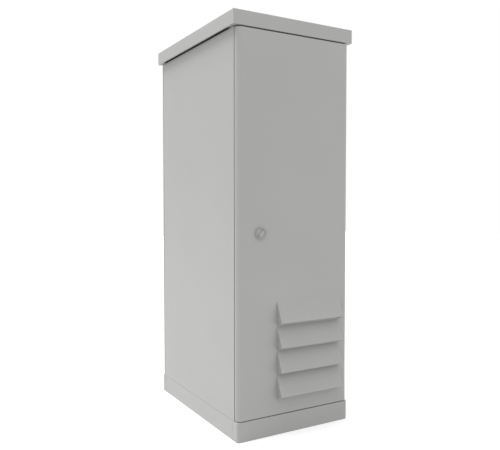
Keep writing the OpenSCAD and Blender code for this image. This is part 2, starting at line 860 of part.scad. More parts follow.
// Rod guides: a moulded block on the door near the tip of each rod
module rod_guide(x, z) {
    block_w = rod_w + 2 * guide_rim;
    from_front() translate([x, 0, z]) difference() {
        translate([-block_w / 2, skin_t, -guide_h / 2]) cube([block_w, rod_y1 + guide_rim - skin_t, guide_h]);
        translate([-rod_w / 2 - rod_clear, rod_y0 - rod_clear, -guide_h / 2 - cut])
            cube([rod_w + 2 * rod_clear, rod_t + 2 * rod_clear, guide_h + 2 * cut]);
    }
}
module rod_guides() {
    color(plastic) {
        rod_guide(lock_x + rod_x, frame_top - beam_h - guide_in);
        rod_guide(lock_x - rod_x, plinth_h + beam_h + guide_in);
    }
}

plinth_front();
plinth_rear();
plinth_side_left();
plinth_side_right();
base_beam_front();
base_beam_rear();
base_beam_left();
base_beam_right();
post_front_left();
post_front_right();
post_rear_left();
post_rear_right();
top_beam_front();
top_beam_rear();
top_beam_left();
top_beam_right();
side_panel_left();
side_panel_right();
rear_panel();
rear_gasket();
top_plate();
roof_cap();
roof_eave_strips();
gland_plate_front();
gland_plate_rear();
cable_seal();
rack_rail_front_left();
rack_rail_front_right();
rack_rail_rear_left();
rack_rail_rear_right();
earth_bar();
earth_spacers();
keeper_top();
keeper_bottom();
hinge_bracket_lower();
hinge_bracket_middle();
hinge_bracket_upper();
hinge_leaf_lower();
hinge_leaf_middle();
hinge_leaf_upper();
hinge_pins();
door_skin();
door_gasket();
door_stiffener_lower();
door_stiffener_upper();
louvre_hood_1();
louvre_hood_2();
louvre_hood_3();
louvre_hood_4();
filter_mat();
filter_frame();
filter_nuts();
lock_rosette();
lock_case();
rod_guides();
lock_knob();
lock_cam();
lock_rod_upper();
lock_rod_lower();
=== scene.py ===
import math

import bmesh
import bpy
from mathutils import Matrix, Vector


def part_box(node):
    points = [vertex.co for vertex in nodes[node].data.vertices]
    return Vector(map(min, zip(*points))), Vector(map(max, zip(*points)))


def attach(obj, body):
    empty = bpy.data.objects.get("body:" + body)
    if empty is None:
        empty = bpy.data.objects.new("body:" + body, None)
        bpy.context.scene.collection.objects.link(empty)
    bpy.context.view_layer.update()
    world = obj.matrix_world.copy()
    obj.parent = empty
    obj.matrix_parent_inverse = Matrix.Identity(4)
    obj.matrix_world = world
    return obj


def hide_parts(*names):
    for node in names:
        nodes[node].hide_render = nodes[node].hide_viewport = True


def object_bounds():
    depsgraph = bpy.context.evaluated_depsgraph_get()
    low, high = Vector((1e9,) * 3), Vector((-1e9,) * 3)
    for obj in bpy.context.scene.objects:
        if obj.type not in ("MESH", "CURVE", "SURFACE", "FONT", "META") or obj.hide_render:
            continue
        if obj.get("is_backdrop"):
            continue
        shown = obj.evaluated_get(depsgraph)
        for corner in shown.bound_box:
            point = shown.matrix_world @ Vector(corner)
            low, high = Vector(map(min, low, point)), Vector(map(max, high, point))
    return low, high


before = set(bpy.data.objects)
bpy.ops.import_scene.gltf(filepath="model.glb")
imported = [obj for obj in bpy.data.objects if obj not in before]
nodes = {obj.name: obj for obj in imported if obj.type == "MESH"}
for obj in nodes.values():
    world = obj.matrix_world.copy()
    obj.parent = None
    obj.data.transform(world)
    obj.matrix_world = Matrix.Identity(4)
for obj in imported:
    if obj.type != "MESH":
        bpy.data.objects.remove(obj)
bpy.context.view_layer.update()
mm = 0.001


# Plinth: front and rear channels that wrap round the corners, and a plate along each side.
# Folded galvanised sheet with a baked powder coating, bolted to the frame through the top flanges.
def linear(colour):
    """Turns an sRGB hex colour into the linear values that shaders take."""
    channels = [int(colour[i : i + 2], 16) / 255 for i in (1, 3, 5)]
    return [c / 12.92 if c <= 0.04045 else ((c + 0.055) / 1.055) ** 2.4 for c in channels] + [1.0]


def add(tree, kind, inputs, **settings):
    """Adds a node with its settings, and sets or links its inputs by their names or places."""
    node = tree.nodes.new("ShaderNode" + kind)
    for name, value in settings.items():
        setattr(node, name, value)
    for name, value in inputs.items():
        if isinstance(value, bpy.types.NodeSocket):
            tree.links.new(value, node.inputs[name])
        else:
            node.inputs[name].default_value = value
    return node


def new_material(name):
    """Starts a material: its node tree and the place on the piece, in metres."""
    material = bpy.data.materials.new(name)
    material.use_nodes = True
    material.node_tree.nodes.clear()
    return material, material.node_tree, add(material.node_tree, "TexCoord", {}).outputs["Object"]


def powder_coat(name, light, dark, roughness):
    """Polyester powder baked on steel: an even colour with a soft sheen, a faint drift in tone
    across a sheet and a fine orange peel. The peel is drawn at 2.5 mm, twice its size, to show."""
    peel_size = 2.5 * mm
    drift_size = 320 * mm
    material, tree, place = new_material(name)
    peel = add(tree, "TexNoise", {"Vector": place, "Scale": 1 / peel_size, "Detail": 2.0})
    drift = add(tree, "TexNoise", {"Vector": place, "Scale": 1 / drift_size, "Detail": 1.0})
    tone = add(
        tree, "Mix", {0: drift.outputs["Fac"], 6: linear(dark), 7: linear(light)}, data_type="RGBA"
    )
    gloss = add(
        tree,
        "MapRange",
        {"Value": peel.outputs["Fac"], "To Min": roughness - 0.06, "To Max": roughness + 0.06},
    )
    bump = add(tree, "Bump", {"Height": peel.outputs["Fac"], "Strength": 0.25, "Distance": 0.1 * mm})
    shader = add(
        tree,
        "BsdfPrincipled",
        {
            "Base Color": tone.outputs[2],
            "Roughness": gloss.outputs["Result"],
            "Normal": bump.outputs["Normal"],
            "IOR": 1.5,
        },
    )
    add(tree, "OutputMaterial", {"Surface": shader.outputs["BSDF"]})
    return material


def finish(names, material, edge=0.5 * mm, slide=False):
    """Gives solids their material and takes the sharpness off their edges, as folding and coating do.
    The rounding keeps an even width, or slides along the next edges where the faces there are slim."""
    same_place = 0.005 * mm
    flat_angle = math.radians(0.02)
    edge_angle = math.radians(20)
    for name in names:
        node = nodes[name]
        for slot in node.material_slots:
            slot.material = material
        weld = node.modifiers.new("Joined faces", "WELD")
        weld.merge_threshold = same_place
        flat = node.modifiers.new("Flat faces", "DECIMATE")
        flat.decimate_type = "DISSOLVE"
        flat.angle_limit = flat_angle
        round_edge = node.modifiers.new("Soft edges", "BEVEL")
        round_edge.width = edge
        round_edge.segments = 2
        round_edge.limit_method = "ANGLE"
        round_edge.angle_limit = edge_angle
        round_edge.use_clamp_overlap = False
        round_edge.loop_slide = slide
        node.modifiers.new("Even shading", "WEIGHTED_NORMAL")


grey_coating = powder_coat("grey powder coating", "#A8A9A7", "#A3A4A2", 0.5)
finish(["plinth_front", "plinth_rear", "plinth_side_left", "plinth_side_right"], grey_coating)


# Frame: square tube posts and beams with a sealing lip round each opening, welded into one cage.
# Mild steel in a satin grey coating a shade darker than the skins, which also covers the weld beads.
def make_piece(name, shape, material, body):
    """Turns a finished bmesh into a piece that rides on a body."""
    crease = math.radians(35)
    mesh = bpy.data.meshes.new(name)
    shape.to_mesh(mesh)
    shape.free()
    mesh.materials.append(material)
    mesh.shade_smooth()
    mesh.set_sharp_from_angle(angle=crease)
    piece = bpy.data.objects.new(name, mesh)
    bpy.context.scene.collection.objects.link(piece)
    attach(piece, body)
    return piece


def weld_beads(name, runs, material):
    """Fillet welds: each run is a row of overlapping ripples from one point to another."""
    ripple_r = 2.4 * mm
    pitch = 2.6 * mm
    shape = bmesh.new()
    for start, end in runs:
        count = round((end - start).length / pitch)
        for i in range(count + 1):
            place = Matrix.Translation(start.lerp(end, i / count))
            bmesh.ops.create_icosphere(shape, subdivisions=2, radius=ripple_r, matrix=place)
    return make_piece(name, shape, material, "cabinet")


frame_coating = powder_coat("satin frame coating", "#9EA09F", "#989A99", 0.42)
corner_names = [f"{end}_{side}" for end in ("front", "rear") for side in ("left", "right")]
beam_sides = ("front", "rear", "left", "right")
finish([f"post_{corner}" for corner in corner_names], frame_coating)
finish([f"{level}_beam_{side}" for level in ("base", "top") for side in beam_sides], frame_coating)
base_low, base_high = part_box("base_beam_right")
top_low, top_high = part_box("top_beam_right")
post_in, post_out = base_low.x, base_high.x
post_front, post_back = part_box("top_plate")[0].y, base_low.y
corners = [(x, y) for x in (-1, 1) for y in (-1, 1)]
bead_runs = []
for x, y in corners:
    inner = Vector((x * post_in, -y * post_back, 0))
    outer = Vector((x * post_out, -y * post_back, 0))
    front = Vector((x * post_in, -y * post_front, 0))
    for low, high, seam in ((base_low.z, base_high.z, base_high.z), (top_low.z, top_high.z, top_low.z)):
        level = Vector((0, 0, seam))
        bead_runs.append((inner + level, front + level))
        bead_runs.append((inner + level, outer + level))
        bead_runs.append((inner + Vector((0, 0, low)), inner + Vector((0, 0, high))))
weld_beads("frame_weld_beads", bead_runs, frame_coating)


# Frame bolts: hexagon bolts through the base beams into the plinth, and through the top beams into the roof.
# Bright zinc-plated steel, machine made, each on a plain washer.
def zinc_plate(name, light, dark, roughness):
    """Bright zinc plating: a cool silver metal with a satin sheen and slightly cloudy patches."""
    cloud_size = 9 * mm
    material, tree, place = new_material(name)
    cloud = add(tree, "TexNoise", {"Vector": place, "Scale": 1 / cloud_size, "Detail": 4.0})
    tone = add(
        tree, "Mix", {0: cloud.outputs["Fac"], 6: linear(dark), 7: linear(light)}, data_type="RGBA"
    )
    gloss = add(
        tree,
        "MapRange",
        {"Value": cloud.outputs["Fac"], "To Min": roughness - 0.1, "To Max": roughness + 0.1},
    )
    shader = add(
        tree,
        "BsdfPrincipled",
        {"Base Color": tone.outputs[2], "Roughness": gloss.outputs["Result"], "Metallic": 1.0},
    )
    add(tree, "OutputMaterial", {"Surface": shader.outputs["BSDF"]})
    return material


def flat_ring(shape, sides, radius, low):
    """A flat disc at a height over the XY plane; gives its ring of vertices."""
    place = Matrix.Translation((0, 0, low))
    return bmesh.ops.create_circle(shape, cap_ends=True, segments=sides, radius=radius, matrix=place)["verts"]


def turned_up(shape, ring, height, edge=0, steps=2):
    """Raises the face inside a ring of vertices and rounds the edge round its top."""
    cap = list({face for vert in ring for face in vert.link_faces})
    raised = bmesh.ops.extrude_face_region(shape, geom=cap)["geom"]
    top = [part for part in raised if isinstance(part, bmesh.types.BMVert)]
    bmesh.ops.translate(shape, vec=(0, 0, height), verts=top)
    if edge > 0:
        rim = [part for part in raised if isinstance(part, bmesh.types.BMEdge)]
        bmesh.ops.bevel(
            shape, geom=rim, offset=edge, segments=steps, profile=0.5, affect="EDGES", material=-1
        )


def hex_bolt(across, height, washer_r):
    """A hexagon head on its washer, standing on the XY plane."""
    washer_t = 1.6 * mm
    washer_edge = 0.3 * mm
    head_edge = 0.8 * mm
    shape = bmesh.new()
    turned_up(shape, flat_ring(shape, 32, washer_r, 0), washer_t, washer_edge)
    turned_up(shape, flat_ring(shape, 6, across / math.sqrt(3), washer_t), height, head_edge)
    bmesh.ops.recalc_face_normals(shape, faces=shape.faces)
    return shape


def fasteners(name, head, places, facing, material, body):
    """Copies of one head at each place, all facing one way, as one piece."""
    pattern = bpy.data.meshes.new(name + "_head")
    head.to_mesh(pattern)
    head.free()
    turn = Vector(facing).to_track_quat("Z", "Y").to_matrix().to_4x4()
    group = bmesh.new()
    for place in places:
        before = len(group.verts)
        group.from_mesh(pattern)
        group.verts.ensure_lookup_table()
        at = Matrix.Translation(place) @ turn
        bmesh.ops.transform(group, matrix=at, verts=group.verts[before:])
    bpy.data.meshes.remove(pattern)
    return make_piece(name, group, material, body)


zinc_plating = zinc_plate("bright zinc plating", "#B2B8BE", "#8F969D", 0.3)
bolt_in = 90 * mm
frame_head = (13 * mm, 5.5 * mm, 9 * mm)
beam_middle = (post_front + post_back) / 2
bolt_spots = [(x * (post_in - bolt_in), y * beam_middle) for x, y in corners]
fasteners(
    "plinth_bolts",
    hex_bolt(*frame_head),
    [(x, y, base_high.z) for x, y in bolt_spots],
    (0, 0, 1),
    zinc_plating,
    "cabinet",
)
fasteners(
    "roof_bolts",
    hex_bolt(*frame_head),
    [(x, y, top_low.z) for x, y in bolt_spots],
    (0, 0, -1),
    zinc_plating,
    "cabinet",
)


# Floor: two gland plates under the base beams, folded down along a split foam strip for the cables.
# Galvanised sheet; the strip is dark open-cell foam, two pieces pressed together in the fold.
def galvanised(name, light, dark):
    """Hot-dip zinc on sheet steel: flat grey crystals, each with a tone and gloss of its own."""
    spangle_size = 14 * mm
    material, tree, place = new_material(name)
    spangle = add(tree, "TexVoronoi", {"Vector": place, "Scale": 1 / spangle_size})
    crystal = add(tree, "SeparateColor", {"Color": spangle.outputs["Color"]})
    tone = add(
        tree, "Mix", {0: crystal.outputs["Red"], 6: linear(dark), 7: linear(light)}, data_type="RGBA"
    )
    gloss = add(tree, "MapRange", {"Value": crystal.outputs["Green"], "To Min": 0.34, "To Max": 0.52})
    shader = add(
        tree,
        "BsdfPrincipled",
        {"Base Color": tone.outputs[2], "Roughness": gloss.outputs["Result"], "Metallic": 1.0},
    )
    add(tree, "OutputMaterial", {"Surface": shader.outputs["BSDF"]})
    return material


def soft_matter(name, light, dark, grain, depth, roughness, sheen):
    """Foam, rubber or fleece: a matt, porous surface whose pits are darker than its skin: painted shade."""
    material, tree, place = new_material(name)
    pores_and_pit_shade = add(tree, "TexNoise", {"Vector": place, "Scale": 1 / grain, "Detail": 5.0, "Roughness": 0.65})
    # The low pits take the dark colour: painted shade in the pores.
    tone = add(
        tree, "Mix", {0: pores_and_pit_shade.outputs["Fac"], 6: linear(dark), 7: linear(light)}, data_type="RGBA"
    )
    bump = add(tree, "Bump", {"Height": pores_and_pit_shade.outputs["Fac"], "Strength": 0.8, "Distance": depth})
    shader = add(
        tree,
        "BsdfPrincipled",
        {
            "Base Color": tone.outputs[2],
            "Roughness": roughness,
            "Normal": bump.outputs["Normal"],
            "Sheen Weight": sheen,
        },
    )
    add(tree, "OutputMaterial", {"Surface": shader.outputs["BSDF"]})
    return material


galvanised_sheet = galvanised("galvanised sheet", "#C2C6C8", "#A9AEB1")
finish(["gland_plate_front", "gland_plate_rear"], galvanised_sheet)
seal_foam = soft_matter("open-cell foam", "#4A4A4D", "#262628", 2.2 * mm, 0.8 * mm, 0.95, 0.0)
seal_low, seal_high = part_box("cable_seal")
seal_slit = 0.5 * mm
seal_round = 2.5 * mm
seal_wave = 0.6 * mm
seal_wave_l = 23 * mm
seal_cuts = 90
seal_shape = bmesh.new()
for side in (-1, 1):
    strip_size = Vector((seal_high.x - seal_low.x, seal_high.y - seal_slit, seal_high.z - seal_low.z))
    middle = Vector((0, side * (seal_high.y + seal_slit) / 2, (seal_low.z + seal_high.z) / 2))
    place = Matrix.Translation(middle) @ Matrix.Diagonal((*strip_size, 1))
    strip = bmesh.ops.create_cube(seal_shape, size=1, matrix=place)["verts"]
    along = {e for v in strip for e in v.link_edges if abs(e.verts[0].co.x - e.verts[1].co.x) > mm}
    bmesh.ops.bevel(
        seal_shape, geom=list(along), offset=seal_round, segments=4, profile=0.5, affect="EDGES", material=-1
    )
lengthways = [e for e in seal_shape.edges if abs(e.verts[0].co.x - e.verts[1].co.x) > mm]
bmesh.ops.subdivide_edges(seal_shape, edges=lengthways, cuts=seal_cuts, use_grid_fill=True)
for vert in seal_shape.verts:
    slack = 1 - abs(vert.co.y) / seal_high.y
    vert.co.y += seal_wave * slack * math.sin(vert.co.x / seal_wave_l)
cable_seal = make_piece("cable_seal_strips", seal_shape, seal_foam, "cabinet")
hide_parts("cable_seal")


# Earth bar: a flat bar on two moulded spacers at the rear base beam, with a bolt in each terminal hole.
# Drawn copper gone slightly dull, on black polyamide; its bolts are zinc plated.
def drawn_copper(name, light, dark):
    """Copper bar as drawn: a warm metal with fine lines along its length and a thin, dull oxide."""
    line_size = 1.5 * mm
    material, tree, place = new_material(name)
    stretched = add(tree, "Mapping", {"Vector": place, "Scale": (0.02, 1, 1)})
    lines = add(
        tree, "TexNoise", {"Vector": stretched.outputs["Vector"], "Scale": 1 / line_size, "Detail": 3.0}
    )
    tone = add(
        tree, "Mix", {0: lines.outputs["Fac"], 6: linear(dark), 7: linear(light)}, data_type="RGBA"
    )
    gloss = add(tree, "MapRange", {"Value": lines.outputs["Fac"], "To Min": 0.25, "To Max": 0.45})
    shader = add(
        tree,
        "BsdfPrincipled",
        {"Base Color": tone.outputs[2], "Roughness": gloss.outputs["Result"], "Metallic": 1.0},
    )
    add(tree, "OutputMaterial", {"Surface": shader.outputs["BSDF"]})
    return material


def moulded_plastic(name, light, dark):
    """Glass-filled polyamide from an eroded mould: near black with a dull grain."""
    grain_size = 1.2 * mm
    material, tree, place = new_material(name)
    grain = add(tree, "TexNoise", {"Vector": place, "Scale": 1 / grain_size, "Detail": 2.0})
    tone = add(
        tree, "Mix", {0: grain.outputs["Fac"], 6: linear(dark), 7: linear(light)}, data_type="RGBA"
    )
    bump = add(tree, "Bump", {"Height": grain.outputs["Fac"], "Strength": 0.4, "Distance": 0.1 * mm})
    shader = add(
        tree,
        "BsdfPrincipled",
        {
            "Base Color": tone.outputs[2],
            "Roughness": 0.5,
            "Normal": bump.outputs["Normal"],
            "IOR": 1.53,
        },
    )
    add(tree, "OutputMaterial", {"Surface": shader.outputs["BSDF"]})
    return material


finish(["earth_bar"], drawn_copper("drawn copper", "#C98A63", "#A86C4A"), 0.6 * mm)
black_polyamide = moulded_plastic("black polyamide", "#2E2F32", "#1F2023")
finish(["earth_spacers"], black_polyamide)
bar_low, bar_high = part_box("earth_bar")
bar_middle = (bar_low.z + bar_high.z) / 2
terminals = 5
terminal_head = (10 * mm, 4 * mm, 7.5 * mm)
terminal_pitch = (bar_high.x - bar_low.x) / (terminals + 1)
spacer_low, spacer_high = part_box("earth_spacers")
spacer_r = (spacer_high.z - spacer_low.z) / 2
bolt_x = [bar_low.x + (i + 1) * terminal_pitch for i in range(terminals)]
fasteners(
    "earth_terminals",
    hex_bolt(*terminal_head),
    [(x, bar_low.y, bar_middle) for x in bolt_x + [spacer_low.x + spacer_r, spacer_high.x - spacer_r]],
    (0, -1, 0),
    zinc_plating,
    "cabinet",
)


# Rack rails: four upright angles with three square holes to each rack unit.
# Punched and folded galvanised sheet, bolted to the side beams at both ends.
finish([f"rack_rail_{corner}" for corner in corner_names], galvanised_sheet)
rail_low, rail_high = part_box("rack_rail_front_right")
rail_bolt_y = (rail_low.y + rail_high.y) / 2
rail_bolt_z = [(base_low.z + base_high.z) / 2, (top_low.z + top_high.z) / 2]
rail_t = 2 * mm
rail_face = rail_high.x - rail_t
rail_head = (10 * mm, 4 * mm, 7 * mm)
for side, name in ((-1, "left"), (1, "right")):
    fasteners(
        f"rack_rail_bolts_{name}",
        hex_bolt(*rail_head),
        [(side * rail_face, y, z) for y in (rail_bolt_y, -rail_bolt_y) for z in rail_bolt_z],
        (-side, 0, 0),
        zinc_plating,
        "cabinet",
    )


# Rear panel: a folded pan like the door, with welded bosses that bear on the rear beams.
# Powder-coated sheet, screwed on from inside, on a gasket of foamed rubber with the lip's mark in it.
def gasket(name, node, width, back, material, body):
    """A bead foamed in place round the edge of a pan: flat underneath, rounded on top, with the groove
    that the frame's lip presses into it."""
    low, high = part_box(node)
    corner_r = width
    height = high.y - low.y
    foot = 0.4 * height
    bead_steps = 20
    corner_steps = 8
    same_place = 0.01 * mm
    groove_w = 1.3 * mm
    groove_d = 1.5 * mm
    floor_y, out = (high.y, -1) if back else (low.y, 1)
    profile = [(-width / 2, 0)]
    for i in range(bead_steps + 1):
        angle = math.pi * (1 - i / bead_steps)
        across = width / 2 * math.cos(angle)
        pressed = groove_d * math.exp(-((across / groove_w) ** 2))
        profile.append((across, foot + (height - foot) * math.sin(angle) - pressed))
    profile.append((width / 2, 0))
    shape = bmesh.new()
    start_x, start_z = low.x + corner_r, low.z + width / 2
    ring = [shape.verts.new((start_x, floor_y + out * up, start_z + across)) for across, up in profile]
    edges = [shape.edges.new(pair) for pair in zip(ring, ring[1:] + ring[:1])]
    long_x = high.x - low.x - 2 * corner_r
    long_z = high.z - low.z - 2 * corner_r
    runs = [
        ((long_x, 0, 0), (high.x - corner_r, low.z + corner_r)),
        ((0, 0, long_z), (high.x - corner_r, high.z - corner_r)),
        ((-long_x, 0, 0), (low.x + corner_r, high.z - corner_r)),
        ((0, 0, -long_z), (low.x + corner_r, low.z + corner_r)),
    ]
    for run, (turn_x, turn_z) in runs:
        moved = bmesh.ops.extrude_edge_only(shape, edges=edges)["geom"]
        verts = [part for part in moved if isinstance(part, bmesh.types.BMVert)]
        bmesh.ops.translate(shape, vec=run, verts=verts)
        turned = bmesh.ops.spin(
            shape,
            geom=[part for part in moved if not isinstance(part, bmesh.types.BMFace)],
            cent=(turn_x, 0, turn_z),
            axis=(0, -1, 0),
            angle=math.pi / 2,
            steps=corner_steps,
        )["geom_last"]
        edges = [part for part in turned if isinstance(part, bmesh.types.BMEdge)]
    bmesh.ops.remove_doubles(shape, verts=shape.verts, dist=same_place)
    bmesh.ops.recalc_face_normals(shape, faces=shape.faces)
    piece = make_piece(name, shape, material, body)
    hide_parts(node)
    return piece


gasket_w = 10 * mm
gasket_rubber = soft_matter("foamed rubber", "#232325", "#151516", 1.2 * mm, 0.15 * mm, 0.75, 0.0)
finish(["rear_panel"], grey_coating)
gasket("rear_gasket_bead", "rear_gasket", gasket_w, True, gasket_rubber, "cabinet")
boss_in = 70 * mm
fasteners(
    "rear_panel_screws",
    hex_bolt(*frame_head),
    [(x * (post_in - boss_in), -post_back, z) for x in (-1, 1) for z in rail_bolt_z],
    (0, -1, 0),
    zinc_plating,
    "cabinet",
)


# Side panels: flat skins with a doubled hem that lies on the posts and beams.
# Powder-coated sheet, held from inside by socket screws through the posts.
def socket_screw(radius, height, socket):
    """A low round head with a hexagon socket, standing on the XY plane."""
    crown = 0.45 * height
    land = 0.2 * radius
    well_d = 0.6 * height
    shape = bmesh.new()
    turned_up(shape, flat_ring(shape, 24, radius, 0), height, crown, 4)
    top = max(shape.faces, key=lambda face: face.calc_center_median().z)
    bmesh.ops.inset_region(shape, faces=[top], thickness=land)
    for vert in top.verts:
        angle = math.atan2(vert.co.y, vert.co.x) % (math.pi / 3) - math.pi / 6
        reach = socket / 2 / math.cos(angle)
        vert.co.xy = vert.co.xy.normalized() * reach
    well = bmesh.ops.extrude_face_region(shape, geom=[top])["geom"]
    bottom = [part for part in well if isinstance(part, bmesh.types.BMVert)]
    bmesh.ops.translate(shape, vec=(0, 0, -well_d), verts=bottom)
    bmesh.ops.delete(shape, geom=[top], context="FACES_ONLY")
    bmesh.ops.recalc_face_normals(shape, faces=shape.faces)
    return shape


finish(["side_panel_left", "side_panel_right"], grey_coating)
panel_screws = 5
panel_head = (5.5 * mm, 3.3 * mm, 4 * mm)
panel_screw_end = 160 * mm
screw_span = top_low.z - base_high.z - 2 * panel_screw_end
screw_z = [base_high.z + panel_screw_end + i * screw_span / (panel_screws - 1) for i in range(panel_screws)]
for side, name in ((-1, "left"), (1, "right")):
    fasteners(
        f"side_panel_screws_{name}",
        socket_screw(*panel_head),
        [(side * post_in, y, z) for y in (beam_middle, -beam_middle) for z in screw_z],
        (-side, 0, 0),
        zinc_plating,
        "cabinet",
    )


# Seam strips: rubber lips on the bare edges of the side panels, which keep rain and light out of the seams.
# Extruded black rubber, pressed on; the hinge side has none, because the door's edge turns in there.
# Their black also darkens the seam lines where the gaps would be in shade: painted shade.
strip_t = 1.2 * mm
strip_round = 0.5 * mm
seam_shade_shape = bmesh.new()
panel_low, panel_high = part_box("side_panel_left")
strip_x = -(panel_low.x + panel_high.x) / 2
strip_z = (panel_low.z + panel_high.z) / 2
strip_size = (panel_high.x - panel_low.x, strip_t, panel_high.z - panel_low.z)
for side, y, out in ((-1, panel_low.y, -1), (-1, panel_high.y, 1), (1, panel_high.y, 1)):
    middle = Vector((side * strip_x, y + out * strip_t / 2, strip_z))
    place = Matrix.Translation(middle) @ Matrix.Diagonal((*strip_size, 1))
    strip = bmesh.ops.create_cube(seam_shade_shape, size=1, matrix=place)["verts"]
    upright = {e for v in strip for e in v.link_edges if abs(e.verts[0].co.z - e.verts[1].co.z) > mm}
    bmesh.ops.bevel(
        seam_shade_shape,
        geom=list(upright),
        offset=strip_round,
        segments=3,
        profile=0.5,
        affect="EDGES",
        material=-1,
    )
# The black strips darken the seam lines: painted shade of the gaps.
make_piece("seam_shade_strips", seam_shade_shape, gasket_rubber, "cabinet")


# Top plate and roof: a slotted plate on the frame, and a folded cap whose side eaves let the warm air out
# past a strip on their hem. The plate is galvanised, cap and strips are powder coated like the panels.
finish(["top_plate"], galvanised_sheet)
finish(["roof_cap"], grey_coating, 0.7 * mm)
finish(["roof_eave_strips"], grey_coating, 0.3 * mm)


# Hinges and keepers: swan-neck brackets screwed to the right-hand post, leaves welded inside the door's edge,
# pins between them, and folded keepers on the beams for the lock rods. Pressed steel, zinc plated.
hinge_levels = ("lower", "middle", "upper")
finish([f"hinge_{kind}_{level}" for kind in ("bracket", "leaf") for level in hinge_levels], zinc_plating)
finish(["hinge_pins", "keeper_top", "keeper_bottom"], zinc_plating)
foot_w = 14 * mm
screw_out = 10 * mm
bracket_t = 3 * mm
hinge_head = (5 * mm, 3 * mm, 3.6 * mm)
hinge_screws = []
for level in hinge_levels:
    low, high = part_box(f"hinge_bracket_{level}")
    place_z = (low.z + screw_out, high.z - screw_out)
    hinge_screws += [(low.x + foot_w / 2, post_front - bracket_t, z) for z in place_z]
fasteners(
    "hinge_screws",
    socket_screw(*hinge_head),
    hinge_screws,
    (0, -1, 0),
    zinc_plating,
    "cabinet",
)
keeper_t = 3 * mm
for name, facing in (("keeper_top", -1), ("keeper_bottom", 1)):
    low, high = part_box(name)
    face = low.z + keeper_t if facing > 0 else high.z - keeper_t
    fasteners(
        name + "_screws",
        socket_screw(*hinge_head),
        [(x, high.y - foot_w, face) for x in (low.x + foot_w, high.x - foot_w)],
        (0, 0, facing),
        zinc_plating,
        "cabinet",
    )


# Door: one folded pan with rounded upright edges, with two hat-section stiffeners spot welded inside it.
# Powder-coated sheet; the bead of foamed rubber round its inside seals against the frame's lip.
finish(["door_skin"], grey_coating)
finish(["door_stiffener_lower", "door_stiffener_upper"], frame_coating)
gasket("door_gasket_bead", "door_gasket", gasket_w, False, gasket_rubber, "door")
spot_r = 3.2 * mm
spot_rise = (0.8 * mm, 0.3 * mm)
spot_dip = (0.6 * mm, -0.2 * mm)
spot_pitch = 60 * mm
stiffener_t = 2 * mm
wing = 6 * mm
spot_ring = bmesh.new()
spot_face = list({face for vert in flat_ring(spot_ring, 20, spot_r, 0) for face in vert.link_faces})
for width, depth in (spot_rise, spot_dip):
    bmesh.ops.inset_region(spot_ring, faces=spot_face, thickness=width, depth=depth)
spots = []
for level in ("lower", "upper"):
    low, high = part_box(f"door_stiffener_{level}")
    count = int((high.x - low.x) / spot_pitch)
    step = (high.x - low.x) / count
    for z in (low.z + wing, high.z - wing):
        spots += [(low.x + (i + 0.5) * step, low.y + stiffener_t, z) for i in range(count)]
fasteners("stiffener_spot_welds", spot_ring, spots, (0, 1, 0), frame_coating, "door")


# Louvre hoods: four sloping slats with a folded lip, closed by a cheek at each end, over slots in the door.
# Folded sheet welded to the door skin and coated with it.
finish([f"louvre_hood_{i}" for i in range(1, 5)], grey_coating, 0.45 * mm, slide=True)


# Filter: a fleece mat behind the slots in a barred tray, held by thumb nuts on four studs.
# White needled polyester that swells a little between the bars; galvanised tray, zinc-plated nuts.
filter_fleece = soft_matter("needled fleece", "#EDECE6", "#C9C8C0", 3.5 * mm, 1.2 * mm, 1.0, 0.3)
finish(["filter_frame"], galvanised_sheet, 0.2 * mm)
tray_low, tray_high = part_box("filter_frame")
mat_low, mat_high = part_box("filter_mat")
tray_rim = 22 * mm
tray_bar = 10 * mm
columns, rows = 2, 4
cell_w = (tray_high.x - tray_low.x - 2 * tray_rim + tray_bar) / columns
cell_h = (tray_high.z - tray_low.z - 2 * tray_rim + tray_bar) / rows
swell = 1.2 * mm
mat_clear = 0.2 * mm
mat_shape = bmesh.new()
bmesh.ops.create_grid(mat_shape, x_segments=90, y_segments=120, size=0.5)
mat_size = mat_high - mat_low
for vert in mat_shape.verts:
    x = mat_low.x + (vert.co.x + 0.5) * mat_size.x
    z = mat_low.z + (vert.co.y + 0.5) * mat_size.z
    across = (x - tray_low.x - tray_rim) % cell_w / (cell_w - tray_bar)
    up = (z - tray_low.z - tray_rim) % cell_h / (cell_h - tray_bar)
    inside = tray_low.x + tray_rim < x < tray_high.x - tray_rim
    inside = inside and tray_low.z + tray_rim < z < tray_high.z - tray_rim
    rise = 0
    if inside and across < 1 and up < 1:
        rise = swell * (math.sin(math.pi * across) * math.sin(math.pi * up)) ** 0.5
    vert.co = (x, mat_high.y + rise - mat_clear, z)
bmesh.ops.recalc_face_normals(mat_shape, faces=mat_shape.faces)
if mat_shape.faces[:][0].normal.y < 0:
    bmesh.ops.reverse_faces(mat_shape, faces=mat_shape.faces)
bmesh.ops.solidify(mat_shape, geom=mat_shape.faces[:], thickness=mat_size.y - 2 * mat_clear)
bmesh.ops.recalc_face_normals(mat_shape, faces=mat_shape.faces)
mat = make_piece("filter_fleece_mat", mat_shape, filter_fleece, "door")
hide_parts("filter_mat")


def thumb_nut(radius, height, stud_r, stud_l):
    """A knurled thumb nut on the XY plane, with its collar and the stud that comes up through it."""
    knurls = 30
    knurl_d = 0.5 * mm
    rim_h = 0.7 * height
    rim_edge = 0.5 * mm
    collar_r = 0.68 * radius
    collar_edge = 0.4 * mm
    stud_edge = 0.6 * mm
    shape = bmesh.new()
    rim = flat_ring(shape, 2 * knurls, radius, 0)
    for vert in rim[::2]:
        vert.co.xy *= 1 - knurl_d / radius
    turned_up(shape, rim, rim_h, rim_edge)
    turned_up(shape, flat_ring(shape, 32, collar_r, rim_h), height - rim_h, collar_edge)
    turned_up(shape, flat_ring(shape, 24, stud_r, -stud_l), stud_l + height, stud_edge)
    bmesh.ops.recalc_face_normals(shape, faces=shape.faces)
    return shape


